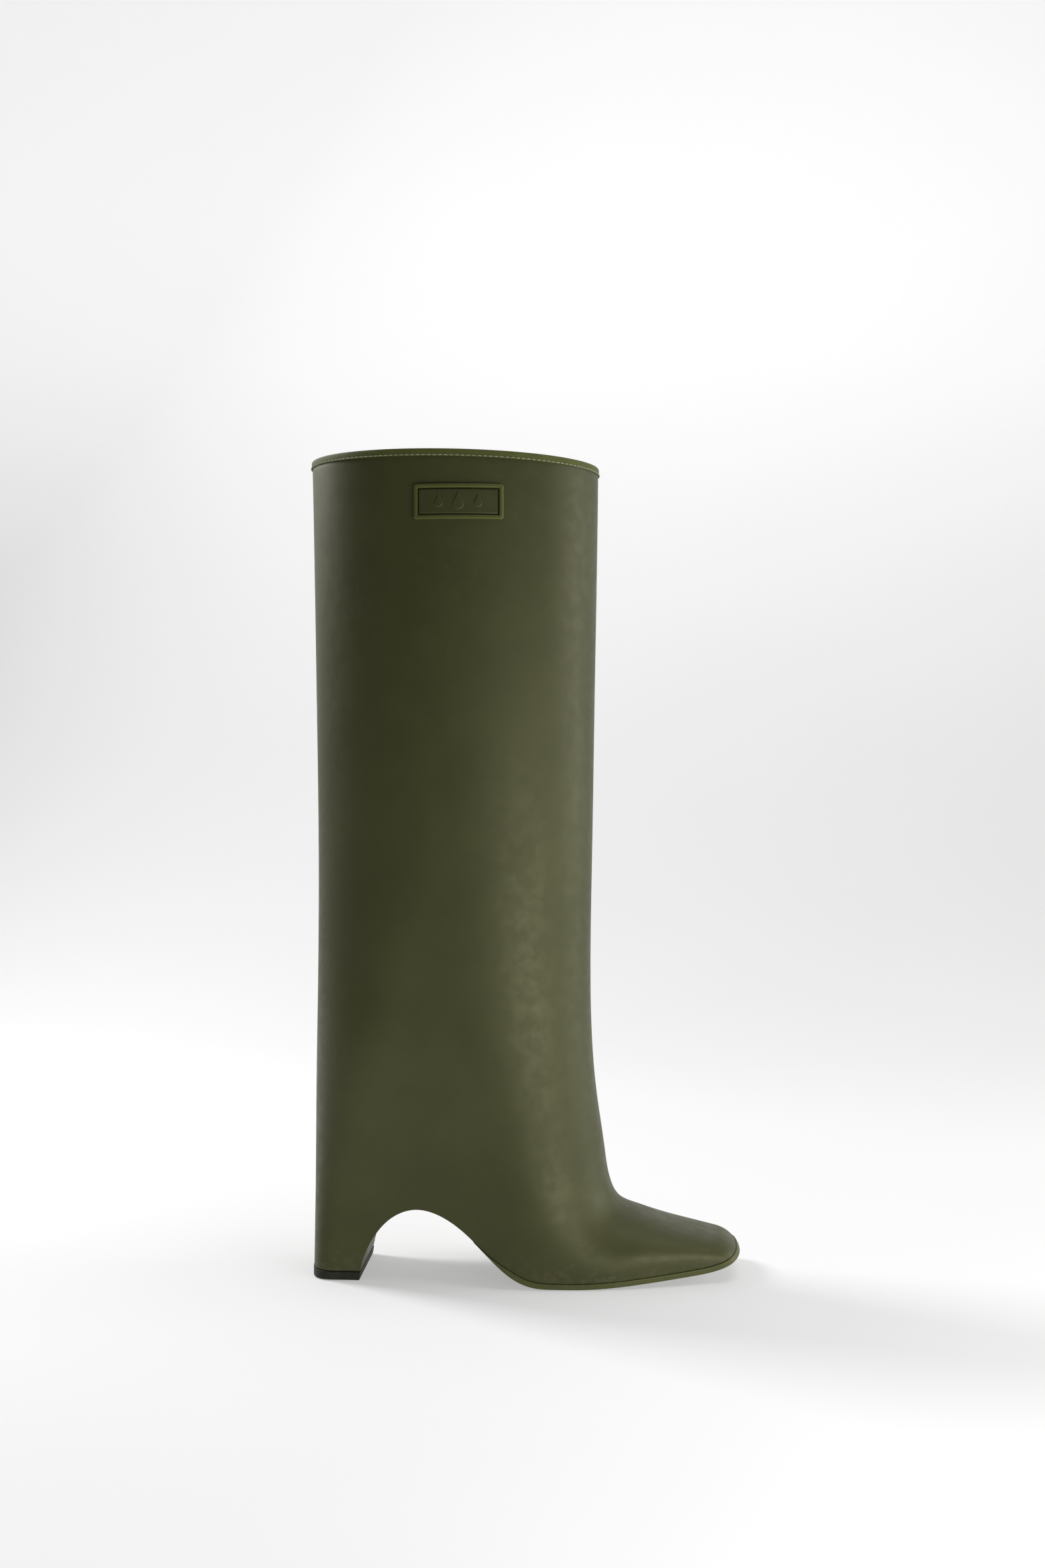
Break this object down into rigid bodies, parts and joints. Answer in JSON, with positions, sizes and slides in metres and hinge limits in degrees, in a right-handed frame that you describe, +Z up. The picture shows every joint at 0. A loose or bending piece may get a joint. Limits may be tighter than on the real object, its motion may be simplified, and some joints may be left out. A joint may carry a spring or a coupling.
{
  "type": "rubber rain boot",
  "caption": "Tall rubber rain boot for the right foot, with a straight shaft, a squared toe, and a block heel joined to the forefoot by an arched bridge.",
  "frame": {"origin": "on the ground, midway along the boot's length and on its middle plane", "axes": "+X towards the toe, +Y towards the inner side of the leg, +Z up the shaft"},
  "size_m": [0.2413, 0.1177, 0.4533],
  "materials": {
    "shell_rubber": "satin moulded rubber, dark olive",
    "sole_rubber": "satin moulded rubber, olive",
    "lift_rubber": "matte black rubber",
    "steel": "brushed",
    "core_plastic": "matte moulded plastic",
    "filler_foam": "matte foam",
    "board": "matte fibre board",
    "footbed_foam": "matte foam",
    "lining_knit": "fine knitted cloth",
    "stiffener": "matte thermoplastic sheet",
    "tape": "woven grosgrain tape",
    "binding": "smooth coated tape",
    "thread": "twisted thread",
    "label_border": "satin moulded rubber, olive"
  },
  "bodies": {
    "root": {"boot_shell": "shell_rubber", "outsole": "sole_rubber", "top_lift": "lift_rubber", "top_lift_pins": "steel", "heel_core": "core_plastic", "heel_screws": "steel", "shank": "steel", "shank_rivets": "steel", "forefoot_filler": "filler_foam", "insole_board": "board", "insole_foam": "footbed_foam", "insole_cover": "lining_knit", "toe_puff": "stiffener", "heel_counter": "stiffener", "foot_lining": "lining_knit", "shaft_lining": "lining_knit", "backstay_tape": "tape", "rim_binding": "binding", "rim_stitching": "thread", "label_frame": "label_border", "label_panel": "shell_rubber"}
  },
  "joints": []
}
